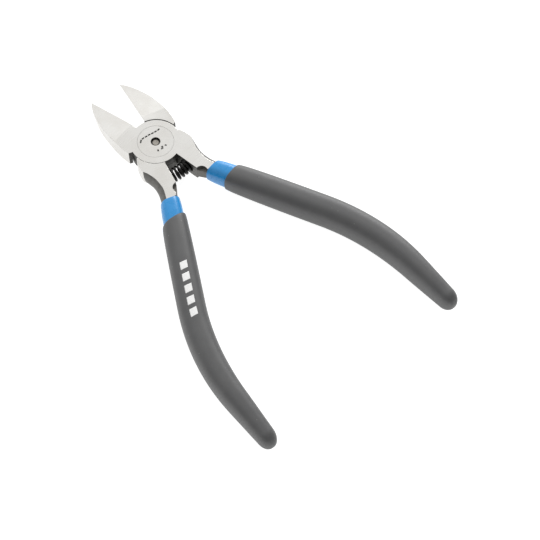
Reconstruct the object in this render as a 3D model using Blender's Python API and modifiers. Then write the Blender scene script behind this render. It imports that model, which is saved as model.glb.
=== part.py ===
"""Diagonal cutting pliers: lap joint, coil return spring and two-layer dipped grips.

Two forged levers cross at a lap joint. A lever is a jaw on one side, a half-thickness lap disc at
the joint and a handle on the other side, ending in a tang inside its grip. The front lever's lap
disc is the upper one. A large-headed journal turns in it and is fixed in the rear lever.

Frame: +Y to the jaw tips, +Z up along the pivot, origin on the pivot at the flat back face. The
levers are drawn closed, about the pivot, and are turned to half the rest opening each.
"""
import math

import bmesh
import bpy
from mathutils import Matrix, Vector

MM = 0.001

# Driving dimensions
HEAD_HALF_T = 3.8 * MM          # half the thickness of the ground head
LAP_R = 9.8 * MM                # radius of each lap disc
LAP_CUT_R = 10.15 * MM          # radius that the other lever is cut away to
LAP_GAP = 0.15 * MM             # from the middle plane to each lap face
JAW_TIP_Y = 33.7 * MM
HALF_OPENING = math.radians(11.5)
CUT_CLEARANCE = 0.1 * MM        # from the closing plane to each cutting edge
FIT_GAP = 0.3 * MM              # clearance between pieces that touch or hold each other
OVERSHOOT = 2.0 * MM            # how far a cutter runs past the face that it cuts
LAP_STEPS = 26                  # straight pieces round each side of a lap disc

# Jaws
SLOPE_START_Y = 12.2 * MM       # the front face starts to slope down here
TIP_TOP_Z = -1.6 * MM           # height of the front face at the tip
SLOPE = (HEAD_HALF_T - TIP_TOP_Z) / (JAW_TIP_Y - SLOPE_START_Y)
EDGE_LAND = 0.3 * MM            # flat height of the cutting edge above its bevel
EDGE_BEVEL = math.radians(27)
HEEL = ((9.1, 3.6), (10.6, 4.45))
EDGE_BEVEL_DEPTH = 14 * MM
EDGE_BEVEL_LENGTH = 30 * MM
JAW_BACK = ((10.6, 7.2), (10.2, 10.7), (9.15, 16.0), (7.4, 22.0), (4.75, 27.6), (2.5, 31.2),
            (0.6, 33.4))

# Handle root
INNER_FACE_X = 1.0 * MM
INNER_FACE_END_Y = -20.3 * MM
ROOT_HALF_WIDTH = 3.3 * MM      # where the root meets the grip
ROOT_TO_SLEEVE = 0.55 * MM
SHOULDER = ((9.4, -3.2), (10.0, -4.1), (10.45, -6.4), (10.4, -9.6), (9.6, -12.9), (8.8, -15.2),
            (8.5, -17.8), (8.65, -20.6))
SCALLOP_R = 2.4 * MM
SCALLOP_Y = -22.3 * MM
SCALLOP_DEPTH = 1.5 * MM

# Journal, rivet and their seats
HEAD_R = 6.95 * MM
HEAD_GAP = 0.25 * MM            # the fine ring between the head and the front lever
HEAD_UNDERSIDE_Z = 1.9 * MM
JOURNAL_R = 4.0 * MM
FLARE_R = 4.8 * MM
FLARE_HEIGHT = 1.1 * MM
FLARE_HEIGHT_GAP = 0.15 * MM
RIVET_R = 1.35 * MM
RIVET_HOLE_R = 1.85 * MM
RIVET_RECESS = 0.7 * MM
RIVET_MOUTH_DEPTH = 2.0 * MM
RIVET_HEAD_R = 2.3 * MM
RIVET_HEAD_T = 1.0 * MM

# Return spring
SPRING_Y = -14.65 * MM
SPRING_COIL_R = 2.4 * MM
SPRING_WIRE_R = 0.45 * MM
SPRING_TURNS = 8.5
SPRING_POINTS_PER_TURN = 10
POCKET_DEPTH = 3.4 * MM

# Handle centre line: straight, a bow inwards, then straight to the end
HANDLE_START = Vector((5.7 * MM, -23.3 * MM))
SPLAY = math.radians(16.1)
BOW_START = 46.5 * MM
BOW_END = 87.1 * MM
BOW_IN = math.radians(9.5)
TANG_START = -5.0 * MM
TANG_END = 98.5 * MM            # 1.5 mm of it is the rounded tip
SLEEVE_END = 104.3 * MM
GRIP_END = 108.9 * MM
RING_POINTS = 16
RING_SPACING = 7 * MM
SECTION_POWER = 2.7
SLANT_FADE = 9 * MM             # a dip line's slant dies out over this length

# (distance along the handle, half width, half height), in millimetres
TANG_SECTIONS = ((-5.0, 2.6, 3.5), (0.0, 2.9, 3.6), (30.0, 2.6, 3.6), (70.0, 2.35, 3.6),
                 (87.0, 1.8, 3.4), (97.0, 1.3, 2.8))
SLEEVE_SECTIONS = ((0.0, 3.6, 4.6), (3.0, 3.95, 4.85), (8.4, 4.15, 5.05), (30.0, 4.1, 5.15),
                   (70.0, 3.85, 5.15), (87.0, 3.3, 4.95), (97.0, 2.75, 4.4), (102.0, 2.0, 3.4))
GRIP_SECTIONS = ((8.4, 4.7, 5.6), (12.0, 4.95, 5.9), (20.0, 5.15, 6.2), (35.0, 5.25, 6.4),
                 (60.0, 5.2, 6.4), (75.0, 4.95, 6.4), (87.0, 4.45, 6.25), (97.0, 3.85, 5.7),
                 (104.0, 3.45, 5.05))

# Dip lines: (where the layer starts, how far each millimetre outwards moves that line down)
FRONT_DIPS = {"sleeve": (0.5 * MM, 0.35), "grip": (8.4 * MM, 0.28)}
REAR_DIPS = {"sleeve": (2.0 * MM, 0.2), "grip": (10.8 * MM, 0.44)}

STEEL = ((0.62, 0.61, 0.59), 0.32, 1.0)
BLACK_STEEL = ((0.05, 0.05, 0.05), 0.4, 0.9)
BLUE_VINYL = ((0.07, 0.3, 0.62), 0.3, 0.0)
GREY_VINYL = ((0.1, 0.1, 0.1), 0.55, 0.0)


def clear_scene():
    """Remove every object that the scene starts with."""
    for item in list(bpy.data.objects):
        bpy.data.objects.remove(item, do_unlink=True)


def new_collection(name):
    """A collection under the scene's own."""
    made = bpy.data.collections.new(name)
    bpy.context.scene.collection.children.link(made)
    return made


def material(name, look):
    """A Principled material from (colour, roughness, metallic)."""
    colour, roughness, metallic = look
    made = bpy.data.materials.new(name)
    made.use_nodes = True
    shader = made.node_tree.nodes["Principled BSDF"]
    shader.inputs["Base Color"].default_value = (*colour, 1.0)
    shader.inputs["Roughness"].default_value = roughness
    shader.inputs["Metallic"].default_value = metallic
    return made


def millimetres(points, side=1):
    """Plan points given in millimetres, with x mirrored when side is -1."""
    return [Vector((side * x * MM, y * MM)) for x, y in points]


def smooth_through(points, steps=4):
    """Points on a Catmull-Rom curve through the given ones."""
    padded = [2 * points[0] - points[1], *points, 2 * points[-1] - points[-2]]
    curve = []
    for a, b, c, d in zip(padded, padded[1:], padded[2:], padded[3:]):
        for step in range(steps):
            t = step / steps
            curve.append(0.5 * (2 * b + (c - a) * t + (2 * a - 5 * b + 4 * c - d) * t ** 2
                                + (3 * b - a - 3 * c + d) * t ** 3))
    return [*curve, points[-1]]


def arc(radius, start, end, steps):
    """Points on a circle about the pivot, from one angle to another."""
    angles = [start + (end - start) * step / steps for step in range(steps + 1)]
    return [Vector((radius * math.cos(angle), radius * math.sin(angle))) for angle in angles]


def angle_of(point):
    """The direction of a plan point from the pivot."""
    return math.atan2(point.y, point.x)


def weld(mesh):
    """Join loose caps to their walls and turn every face outwards."""
    work = bmesh.new()
    work.from_mesh(mesh)
    bmesh.ops.remove_doubles(work, verts=work.verts, dist=0.002 * MM)
    bmesh.ops.recalc_face_normals(work, faces=work.faces)
    work.to_mesh(mesh)
    work.free()


def mesh_from_curve(name, curve, collection):
    """Turn a curve datablock into a welded mesh object."""
    holder = bpy.data.objects.new(name + "_curve", curve)
    collection.objects.link(holder)
    evaluated = holder.evaluated_get(bpy.context.evaluated_depsgraph_get())
    mesh = bpy.data.meshes.new_from_object(evaluated)
    bpy.data.objects.remove(holder, do_unlink=True)
    weld(mesh)
    made = bpy.data.objects.new(name, mesh)
    collection.objects.link(made)
    return made


def poly_curve(name, points, dimensions, closed):
    """A curve of straight pieces through the points."""
    curve = bpy.data.curves.new(name, "CURVE")
    curve.dimensions = dimensions
    spline = curve.splines.new("POLY")
    spline.points.add(len(points) - 1)
    for knot, point in zip(spline.points, points):
        knot.co = (*point.to_3d(), 1.0)
    spline.use_cyclic_u = closed
    return curve


def plate(name, points, half_thickness, collection):
    """A flat outline extruded both ways from the middle plane."""
    curve = poly_curve(name, points, "2D", True)
    curve.fill_mode = "BOTH"
    curve.extrude = half_thickness
    return mesh_from_curve(name, curve, collection)


def turned(name, profile, collection, steps=48):
    """A solid of revolution about Z from (radius, height) points down its outer side."""
    mesh = bpy.data.meshes.new(name)
    work = bmesh.new()
    corners = [work.verts.new((radius, 0, height)) for radius, height in profile]
    for first, second in zip(corners, corners[1:]):
        work.edges.new((first, second))
    if profile[0][0] > 0:
        work.edges.new((corners[-1], corners[0]))
    work.to_mesh(mesh)
    work.free()
    made = bpy.data.objects.new(name, mesh)
    collection.objects.link(made)
    screw = made.modifiers.new("Turn", "SCREW")
    screw.steps = steps
    screw.render_steps = steps
    screw.use_merge_vertices = True
    screw.merge_threshold = 0.00001
    screw.use_smooth_shade = False
    return made


def block(name, low, high, collection):
    """A box between two corners."""
    mesh = bpy.data.meshes.new(name)
    work = bmesh.new()
    bmesh.ops.create_cube(work, size=1.0)
    size = high - low
    bmesh.ops.scale(work, vec=size, verts=work.verts)
    bmesh.ops.translate(work, vec=(low + high) / 2, verts=work.verts)
    work.to_mesh(mesh)
    work.free()
    made = bpy.data.objects.new(name, mesh)
    collection.objects.link(made)
    return made


def as_cutter(item, parent):
    """Hide a guide solid from the build and hang it on the piece that it shapes."""
    item.hide_render = True
    item.display_type = "WIRE"
    item.parent = parent
    return item


def boolean(target, tool, operation="DIFFERENCE"):
    """Add an exact Boolean modifier to a piece."""
    modifier = target.modifiers.new(tool.name, "BOOLEAN")
    modifier.operation = operation
    modifier.solver = "EXACT"
    modifier.object = tool


def handle_frame(distance):
    """Centre and direction of the handle at a distance down its centre line."""
    radius = (BOW_END - BOW_START) / (SPLAY + BOW_IN)
    straight = min(distance, BOW_START)
    point = HANDLE_START + straight * Vector((math.sin(SPLAY), -math.cos(SPLAY)))
    bowed = min(max(distance - BOW_START, 0.0), BOW_END - BOW_START)
    heading = SPLAY - bowed / radius
    point += radius * Vector((math.cos(heading) - math.cos(SPLAY),
                              math.sin(heading) - math.sin(SPLAY)))
    direction = Vector((math.sin(heading), -math.cos(heading)))
    point += max(distance - BOW_END, 0.0) * direction
    return point, direction


def section_at(sections, distance):
    """Half width and half height at a distance, between the listed sections."""
    for (s0, a0, b0), (s1, a1, b1) in zip(sections, sections[1:]):
        if distance <= s1 * MM or (s1, a1, b1) == sections[-1]:
            t = min(max((distance / MM - s0) / (s1 - s0), 0.0), 1.0)
            return (a0 + (a1 - a0) * t) * MM, (b0 + (b1 - b0) * t) * MM
    return None


def handle_ring(distance, half_width, half_height, slant=0.0):
    """Points of one section across the handle, on the right-hand side of the tool."""
    centre, along = handle_frame(distance)
    across = Vector((-along.y, along.x))
    ring = []
    for index in range(RING_POINTS):
        angle = 2 * math.pi * (index + 0.5) / RING_POINTS
        cosine, sine = math.cos(angle), math.sin(angle)
        out = half_width * math.copysign(abs(cosine) ** (2 / SECTION_POWER), cosine)
        up = half_height * math.copysign(abs(sine) ** (2 / SECTION_POWER), sine)
        plan = centre + across * out + along * (slant * out)
        ring.append(Vector((plan.x, plan.y, up)))
    return ring


def handle_rings(sections, start, end, slant=0.0):
    """Rings from the start to a rounded end, with a slanted first ring."""
    last = sections[-1][0] * MM
    count = round((last - start) / RING_SPACING)
    rings = []
    for index in range(count + 1):
        distance = start + (last - start) * index / count
        fade = max(0.0, 1 - (distance - start) / SLANT_FADE)
        rings.append(handle_ring(distance, *section_at(sections, distance), slant * fade))
    width, height = section_at(sections, last)
    for turn in (0.3, 0.6, 0.85):
        shrink = math.cos(turn * math.pi / 2)
        distance = last + (end - last) * math.sin(turn * math.pi / 2)
        rings.append(handle_ring(distance, width * shrink, height * shrink))
    return rings


def loft(name, outer, inner, collection):
    """A closed skin over rings; with inner rings too, a cup that is open at its first ring."""
    work = bmesh.new()
    loops = [*reversed(outer), *(inner or [])]
    rows = [[work.verts.new(point) for point in ring] for ring in loops]
    for row, following in zip(rows, rows[1:]):
        for index in range(RING_POINTS):
            after = (index + 1) % RING_POINTS
            work.faces.new((row[index], row[after], following[after], following[index]))
    work.faces.new(rows[0])
    work.faces.new(rows[-1])
    bmesh.ops.recalc_face_normals(work, faces=work.faces)
    mesh = bpy.data.meshes.new(name)
    work.to_mesh(mesh)
    work.free()
    made = bpy.data.objects.new(name, mesh)
    collection.objects.link(made)
    return made


def offset_sections(sections, amount):
    """The same sections made narrower and lower by an amount in metres."""
    change = amount / MM
    return [(distance, width - change, height - change) for distance, width, height in sections]


def mirrored_half(item, side):
    """Turn a right-hand handle piece half a turn about Y for the left-hand side."""
    if side < 0:
        item.data.transform(Matrix.Rotation(math.pi, 4, "Y"))
    return item


def root_end(sleeve_start):
    """The two corners where the ground root stops, just short of the inner sleeve."""
    centre, _ = handle_frame(sleeve_start)
    middle = centre - Vector((math.tan(SPLAY), -1)) * ROOT_TO_SLEEVE
    half = Vector((ROOT_HALF_WIDTH, 0))
    return middle - half, middle + half


def lever_outline(side, sleeve_start):
    """Plan of one lever, closed: edge, jaw back, heel, lap disc, handle root, lap disc."""
    back = millimetres([(-x, y) for x, y in (HEEL[1], *JAW_BACK)])
    tip = Vector((-CUT_CLEARANCE, JAW_TIP_Y))
    jaw = list(reversed(smooth_through(back)))
    heel_foot = millimetres([(-HEEL[0][0], HEEL[0][1])])[0]
    inner_corner_y = -math.sqrt(LAP_R ** 2 - INNER_FACE_X ** 2)
    inner_corner = Vector((INNER_FACE_X, inner_corner_y))
    lower = arc(LAP_R, angle_of(heel_foot), 2 * math.pi + angle_of(inner_corner), LAP_STEPS)
    inner_end, outer_end = root_end(sleeve_start)
    root = [Vector((INNER_FACE_X, INNER_FACE_END_Y)), inner_end]
    shoulder = list(reversed(smooth_through([*millimetres(SHOULDER), outer_end], 3)))
    throat = Vector((-CUT_CLEARANCE, math.sqrt(LAP_R ** 2 - CUT_CLEARANCE ** 2)))
    foot = Vector((math.sqrt(LAP_R ** 2 - shoulder[-1].y ** 2), shoulder[-1].y))
    upper = arc(LAP_R, angle_of(foot), angle_of(throat), LAP_STEPS)
    points = [tip, *jaw, *lower, *root, *shoulder, *upper]
    return [Vector((side * point.x, point.y)) for point in points]


def slope_cutter(name, collection):
    """Removes what lies above the sloping front face of a jaw."""
    reach = 40 * MM
    cutter = block(name, Vector((-reach, 0, 0)), Vector((reach, reach, reach)), collection)
    turn = Matrix.Rotation(-math.atan(SLOPE), 4, "X")
    cutter.data.transform(Matrix.Translation((0, SLOPE_START_Y, HEAD_HALF_T)) @ turn)
    return cutter


def bevel_cutter(name, side, collection):
    """Removes the wedge behind a cutting edge, towards the back face."""
    depth = EDGE_BEVEL_DEPTH
    spread = depth * math.tan(EDGE_BEVEL)
    edge = -side * CUT_CLEARANCE
    past = side * OVERSHOOT
    corners = [Vector((edge, 0)), Vector((edge - side * spread, -depth)),
               Vector((past, -depth)), Vector((past, 0))]
    cutter = plate(name, corners, EDGE_BEVEL_LENGTH / 2, collection)
    upright = Matrix.Rotation(math.pi / 2, 4, "X")
    first_y = LAP_CUT_R + EDGE_BEVEL_LENGTH / 2
    beyond_lap = Matrix.Translation((0, first_y, HEAD_HALF_T - EDGE_LAND))
    lean = Matrix.Identity(4)
    lean[2][1] = -SLOPE
    lean[2][3] = SLOPE * SLOPE_START_Y
    cutter.data.transform(lean @ beyond_lap @ upright)
    return cutter


def lap_cutter(name, side, collection):
    """Removes the half of the joint that the other lever's lap disc fills."""
    top = side * LAP_GAP
    bottom = -side * (HEAD_HALF_T + OVERSHOOT)
    low, high = sorted((top, bottom))
    return turned(name, [(0, high), (LAP_CUT_R, high), (LAP_CUT_R, low), (0, low)], collection, 72)


def pocket_cutter(name, side, collection):
    """The blind hole that an end of the return spring sits in."""
    radius = SPRING_COIL_R + SPRING_WIRE_R + FIT_GAP
    cutter = turned(name, [(0, POCKET_DEPTH), (radius, POCKET_DEPTH), (radius, -OVERSHOOT),
                           (0, -OVERSHOOT)], collection, 24)
    cutter.rotation_euler = (0, side * math.pi / 2, 0)
    cutter.location = (side * INNER_FACE_X, SPRING_Y, 0)
    return cutter


def scallop_cutter(name, side, face, collection):
    """Lowers the ground face in a half round beside the start of the grip."""
    top = HEAD_HALF_T + OVERSHOOT
    floor = HEAD_HALF_T - SCALLOP_DEPTH
    low, high = sorted((face * floor, face * top))
    cutter = turned(name, [(0, high), (SCALLOP_R, high), (SCALLOP_R, low), (0, low)],
                    collection, 20)
    cutter.location = (side * INNER_FACE_X, SCALLOP_Y, 0)
    return cutter


def front_bore(collection):
    """Stepped bore of the front lever: the journal's head sits in it, flush."""
    step = HEAD_UNDERSIDE_Z - FIT_GAP
    head, shank = HEAD_R + HEAD_GAP, JOURNAL_R + FIT_GAP
    top = HEAD_HALF_T + OVERSHOOT
    return turned("front_bore", [(0, top), (head, top), (head, step), (shank, step),
                                 (shank, -OVERSHOOT), (0, -OVERSHOOT)], collection)


def rear_bore(collection):
    """Bore of the rear lever, flared at the back for the journal's upset end."""
    shank, flare = JOURNAL_R + FIT_GAP, FLARE_R + FIT_GAP
    back = -HEAD_HALF_T
    start = back + FLARE_HEIGHT + FLARE_HEIGHT_GAP
    bottom = back - OVERSHOOT
    return turned("rear_bore", [(0, OVERSHOOT), (shank, OVERSHOOT), (shank, start), (flare, back),
                                (flare, bottom), (0, bottom)], collection)


def lever(name, side, bore, sleeve_start, steel, parts, guides):
    """One forged lever; side is +1 with its handle on the right, -1 on the left."""
    body = plate(name, lever_outline(side, sleeve_start), HEAD_HALF_T, parts)
    body.data.materials.append(steel)
    tang_rings = handle_rings(TANG_SECTIONS, TANG_START, TANG_END)
    tang = mirrored_half(loft(name + "_tang", tang_rings, None, guides), side)
    boolean(body, as_cutter(tang, body), "UNION")
    cutters = [lap_cutter(name + "_lap_cut", side, guides),
               slope_cutter(name + "_slope_cut", guides),
               bevel_cutter(name + "_bevel_cut", side, guides),
               pocket_cutter(name + "_pocket_cut", side, guides),
               scallop_cutter(name + "_upper_scallop", side, 1, guides),
               scallop_cutter(name + "_lower_scallop", side, -1, guides),
               bore]
    for cutter in cutters:
        boolean(body, as_cutter(cutter, body))
    return body


def cup(name, sections, start, end, wall_gap, inner_sections, inner_end, slant, side, parts):
    """A dipped layer: the outer skin, and a cavity a gap wider than what it covers."""
    outer = handle_rings(sections, start, end, slant)
    hollow = offset_sections(inner_sections, -wall_gap)
    inner = handle_rings(hollow, start, inner_end + wall_gap, slant)
    return mirrored_half(loft(name, outer, inner, parts), side)


def grip_pair(prefix, side, dips, looks, parts):
    """The inner and the outer dipped layer of one handle."""
    start, slant = dips["sleeve"]
    sleeve = cup(prefix + "_inner_sleeve", SLEEVE_SECTIONS, start, SLEEVE_END,
                 FIT_GAP, TANG_SECTIONS, TANG_END, slant, side, parts)
    sleeve.data.materials.append(looks[0])
    start, slant = dips["grip"]
    grip = cup(prefix + "_outer_grip", GRIP_SECTIONS, start, GRIP_END,
               FIT_GAP, SLEEVE_SECTIONS, SLEEVE_END, slant, side, parts)
    grip.data.materials.append(looks[1])
    return sleeve, grip


def joint_disc(steel, parts):
    """The journal: a flush head, a bearing shank and an end upset into the rear lever."""
    back = -HEAD_HALF_T
    seat = RIVET_HEAD_R + FIT_GAP
    hole = RIVET_R + FIT_GAP
    ledge = back + RIVET_HEAD_T + FIT_GAP
    mouth = HEAD_HALF_T - RIVET_MOUTH_DEPTH
    profile = [(RIVET_HOLE_R, HEAD_HALF_T), (HEAD_R, HEAD_HALF_T), (HEAD_R, HEAD_UNDERSIDE_Z),
               (JOURNAL_R, HEAD_UNDERSIDE_Z), (JOURNAL_R, back + FLARE_HEIGHT), (FLARE_R, back),
               (seat, back), (seat, ledge), (hole, ledge), (hole, mouth), (RIVET_HOLE_R, mouth)]
    disc = turned("joint_disc", profile, parts)
    disc.data.materials.append(steel)
    return disc


def centre_rivet(steel, parts):
    """The small pin in the journal's centre, with its head flush at the back."""
    top = HEAD_HALF_T - RIVET_RECESS
    back = -HEAD_HALF_T
    profile = [(0, top), (RIVET_R, top), (RIVET_R, back + RIVET_HEAD_T),
               (RIVET_HEAD_R, back + RIVET_HEAD_T), (RIVET_HEAD_R, back), (0, back)]
    rivet = turned("centre_rivet", profile, parts, 32)
    rivet.data.materials.append(steel)
    return rivet


def spring_axis(distance, mouth, bend_r):
    """Point and heading on the spring's axis: straight in each pocket, bent in the gap."""
    half_bend = bend_r * HALF_OPENING
    heading = min(max(distance, -half_bend), half_bend) / bend_r
    beyond = abs(distance) - half_bend
    centre_y = mouth.y + bend_r * math.cos(HALF_OPENING)
    point = Vector((bend_r * math.sin(heading), centre_y - bend_r * math.cos(heading)))
    if beyond > 0:
        point += math.copysign(beyond, distance) * Vector((math.cos(heading), math.sin(heading)))
    return point, heading


def return_spring(steel, parts):
    """A coil whose axis follows the gap between the handles and into both pockets."""
    turn = Matrix.Rotation(HALF_OPENING, 2)
    mouth = turn @ Vector((INNER_FACE_X, SPRING_Y))
    bend_r = mouth.x / math.sin(HALF_OPENING)
    half_length = bend_r * HALF_OPENING + POCKET_DEPTH - FIT_GAP - SPRING_WIRE_R
    count = round(SPRING_TURNS * SPRING_POINTS_PER_TURN)
    points = []
    for index in range(count + 1):
        share = index / count
        centre, heading = spring_axis(half_length * (2 * share - 1), mouth, bend_r)
        angle = 2 * math.pi * SPRING_TURNS * share
        outward = Vector((-math.sin(heading), math.cos(heading), 0)) * math.cos(angle)
        outward += Vector((0, 0, math.sin(angle)))
        points.append(centre.to_3d() + SPRING_COIL_R * outward)
    curve = poly_curve("return_spring", points, "3D", False)
    curve.bevel_depth = SPRING_WIRE_R
    curve.bevel_resolution = 2
    curve.use_fill_caps = True
    spring = mesh_from_curve("return_spring", curve, parts)
    spring.data.materials.append(steel)
    return spring


def empty(name, parent, collection):
    """A frame to place pieces in."""
    made = bpy.data.objects.new(name, None)
    made.parent = parent
    made.empty_display_size = 5 * MM
    collection.objects.link(made)
    return made


def main():
    """Model the pliers at the spring's relaxed opening."""
    clear_scene()
    parts = new_collection("diagonal_cutting_pliers")
    guides = new_collection("cutters")
    steel = material("forged_steel", STEEL)
    black = material("black_spring_steel", BLACK_STEEL)
    vinyl = (material("blue_vinyl", BLUE_VINYL), material("grey_vinyl", GREY_VINYL))

    frame = empty("pliers_frame", None, parts)
    frame.location.z = HEAD_HALF_T
    front = empty("front_half", frame, parts)
    front.rotation_euler.z = HALF_OPENING
    rear = empty("rear_half", frame, parts)
    rear.rotation_euler.z = -HALF_OPENING

    halves = (("front", 1, front_bore(guides), FRONT_DIPS, front),
              ("rear", -1, rear_bore(guides), REAR_DIPS, rear))
    for prefix, side, bore, dips, half in halves:
        start = dips["sleeve"][0]
        lever(prefix + "_lever", side, bore, start, steel, parts, guides).parent = half
        for item in grip_pair(prefix, side, dips, vinyl, parts):
            item.parent = half
    joint_disc(steel, parts).parent = rear
    centre_rivet(steel, parts).parent = rear
    return_spring(black, parts).parent = frame


main()
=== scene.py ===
import math

import bmesh
import bpy
from mathutils import Matrix, Vector


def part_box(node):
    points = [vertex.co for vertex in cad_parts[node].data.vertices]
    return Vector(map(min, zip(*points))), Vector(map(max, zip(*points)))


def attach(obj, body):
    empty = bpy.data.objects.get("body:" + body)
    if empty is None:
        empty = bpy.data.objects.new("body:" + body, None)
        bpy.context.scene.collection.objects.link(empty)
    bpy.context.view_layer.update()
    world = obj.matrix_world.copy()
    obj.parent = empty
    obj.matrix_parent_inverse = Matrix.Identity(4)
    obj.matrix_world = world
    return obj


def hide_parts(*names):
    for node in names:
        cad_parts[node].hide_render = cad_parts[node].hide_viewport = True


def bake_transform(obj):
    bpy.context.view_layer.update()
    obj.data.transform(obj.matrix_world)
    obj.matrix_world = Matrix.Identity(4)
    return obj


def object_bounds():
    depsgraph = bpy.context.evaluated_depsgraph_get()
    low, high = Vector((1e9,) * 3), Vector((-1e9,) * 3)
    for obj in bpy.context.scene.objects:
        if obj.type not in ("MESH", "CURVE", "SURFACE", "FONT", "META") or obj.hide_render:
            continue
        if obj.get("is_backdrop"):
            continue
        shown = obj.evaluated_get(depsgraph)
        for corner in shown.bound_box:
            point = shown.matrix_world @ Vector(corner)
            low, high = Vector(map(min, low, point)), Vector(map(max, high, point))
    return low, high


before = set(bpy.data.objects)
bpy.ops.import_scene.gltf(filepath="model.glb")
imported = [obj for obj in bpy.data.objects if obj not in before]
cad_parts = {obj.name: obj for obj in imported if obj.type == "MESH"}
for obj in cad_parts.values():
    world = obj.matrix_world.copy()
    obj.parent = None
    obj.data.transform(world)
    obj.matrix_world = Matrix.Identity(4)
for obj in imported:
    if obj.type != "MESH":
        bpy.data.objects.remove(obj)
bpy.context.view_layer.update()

# Detailed looks for diagonal cutting pliers. Each CAD node gets a finer piece in its place. It is drawn in
# its own lever's frame: closed, about the pivot, in the middle plane, with its handle on the right. A half's
# matrix then opens it to the rest position, and a left-hand piece is mirrored or turned over first.

MM = 0.001
OVERSHOOT = 2.0 * MM            # how far a cutter stands past what it cuts
MERGE_DISTANCE = 0.0005 * MM
CUT_TOLERANCE = 0.0001 * MM

# Head
HEAD_HALF_T = (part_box("front_lever")[1].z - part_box("front_lever")[0].z) / 2
HALF_OPENING = math.radians(11.5)
LAP_R = 9.8 * MM
JAW_CUT_R = 10.15 * MM          # the jaw stands this far from the pivot round the other lap disc
ROOT_CUT_R = 9.9 * MM           # the same for the handle root
LAP_GAP = 0.05 * MM
JAW_TIP_Y = 33.7 * MM
CUT_CLEARANCE = 0.1 * MM
SLOPE_START_Y = 12.2 * MM
TIP_DROP = 5.4 * MM             # how far the front face falls from the slope's start to the tip
SLOPE_FIRST = math.tan(math.radians(12.4))  # the slope where it starts
SLOPE_STEPS = 30
JAW_REACH = 20 * MM             # wider than a jaw
EDGE_LAND = 0.3 * MM
EDGE_BEVEL = math.radians(27)
BEVEL_DEPTH = 14 * MM           # more than the jaw's thickness

# The jaw's outline from its heel to the tip: (distance out, y), in millimetres
HEEL = ((9.1, 3.6), (10.6, 4.45))
JAW_BACK = ((10.6, 7.2), (10.2, 10.7), (9.15, 16.0), (7.4, 22.0), (4.75, 27.6), (2.5, 31.2), (0.6, 33.4))

# Handle root: (y, x of the forged flank at mid height, x of the ground face's edge), in millimetres
SHOULDER = ((-3.2, 9.4, 9.4), (-4.1, 10.0, 10.0), (-6.4, 10.45, 10.45), (-9.6, 10.4, 10.3),
            (-11.2, 10.1, 9.2), (-12.9, 9.6, 8.25), (-15.2, 8.8, 7.3), (-17.8, 8.5, 6.8), (-20.6, 8.65, 6.6))
INNER_FACE_X = 1.0 * MM
INNER_FOOT = ((-18.6, 1.0), (-20.2, 1.12), (-21.8, 1.75))  # (y, x) where the inner face curves out
ROOT_FLANK = 3.3 * MM           # half width of the forged root where it meets the grip
ROOT_FACE = (2.6 * MM, 1.3 * MM)  # how far its ground face reaches inwards and outwards there
ROOT_TO_SLEEVE = 0.2 * MM
FLANK_POWER = 2.2               # how the forged flank bulges from its ground faces to mid height
FLANK_LEVELS = (-1, -0.93, -0.84, -0.72, -0.55, -0.3, 0, 0.3, 0.55, 0.72, 0.84, 0.93, 1)
GROUND_END_Y = -10.65 * MM      # the ground shoulder stops here, on a line that leans by GROUND_LEAN
GROUND_LEAN = 0.18
GROUND_SIDE_X = 0.88 * LAP_R    # only walls further out than this belong to the shoulder
FLAT_NORMAL = 0.9               # a face whose normal is this upright is a ground face or a slope
LEVEL_TOLERANCE = 0.02 * MM
FACE_TOLERANCE = 0.01 * MM
WALL_NORMAL = 0.7               # a wall's normal is less upright than this
WALL_X = 7 * MM
SCALLOP_R = 2.4 * MM
SCALLOP_Y = -22.3 * MM
SCALLOP_DEPTH = 1.5 * MM
EDGE_ROUND = 0.07 * MM
PAINTED_SHADE_FADE = (11 * MM, 17 * MM)   # painted shade on the forged walls: darkest near the pivot, fading out between these radii

# Journal, rivet and their seats
HEAD_R = 7.1 * MM
HEAD_CHAMFER = 0.06 * MM
BORE_ZONE_R = HEAD_R + 0.2 * MM  # a wall nearer the pivot than this is inside the bore
HEAD_GAP = 0.02 * MM
HEAD_UNDERSIDE_Z = 1.9 * MM
JOURNAL_R = 4.0 * MM
FLARE_R = 4.8 * MM
FLARE_HEIGHT = 1.1 * MM
SHANK_GAP = 0.3 * MM
RIVET_R = 1.35 * MM
RIVET_HOLE_R = 1.85 * MM
RIVET_HOLE_DEPTH = 2 * MM
RIVET_RECESS = 0.7 * MM
RIVET_HEAD_R = 2.3 * MM
RIVET_HEAD_T = 1.0 * MM
RIVET_CHAMFER = 0.15 * MM

# Plain strokes etched in the journal's head: (x, y, length, lean in degrees), in millimetres
ETCH_WIDTH = 0.6 * MM
ETCH_DEPTH = 0.1 * MM
ETCH_ZONE = (1.2 * RIVET_HOLE_R, HEAD_R - 1 * MM)  # all strokes lie between these radii
ETCHED_STROKES = ((-5.0, 2.6, 1.6, 52), (-3.7, 3.45, 1.1, 14), (-2.3, 3.65, 1.1, 10), (-0.9, 3.85, 1.1, 6),
                  (0.5, 3.9, 1.1, 6), (1.9, 4.05, 1.1, 10), (3.3, 4.3, 1.1, 24), (4.4, 5.1, 1.2, 62),
                  (-0.9, -4.1, 0.9, 80), (0.9, -4.0, 1.1, 10), (1.2, -3.3, 0.8, 10), (2.7, -3.3, 0.8, -50))

# Return spring
SPRING_Y = -14.65 * MM
SPRING_COIL_R = 2.4 * MM
SPRING_WIRE_R = 0.45 * MM
SPRING_TURNS = 8.5
SPRING_HALF_SEAT = 2.65 * MM    # how far its wire's ends go into each pocket
POCKET_DEPTH = 4.4 * MM
POCKET_R = 3.05 * MM

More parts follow.
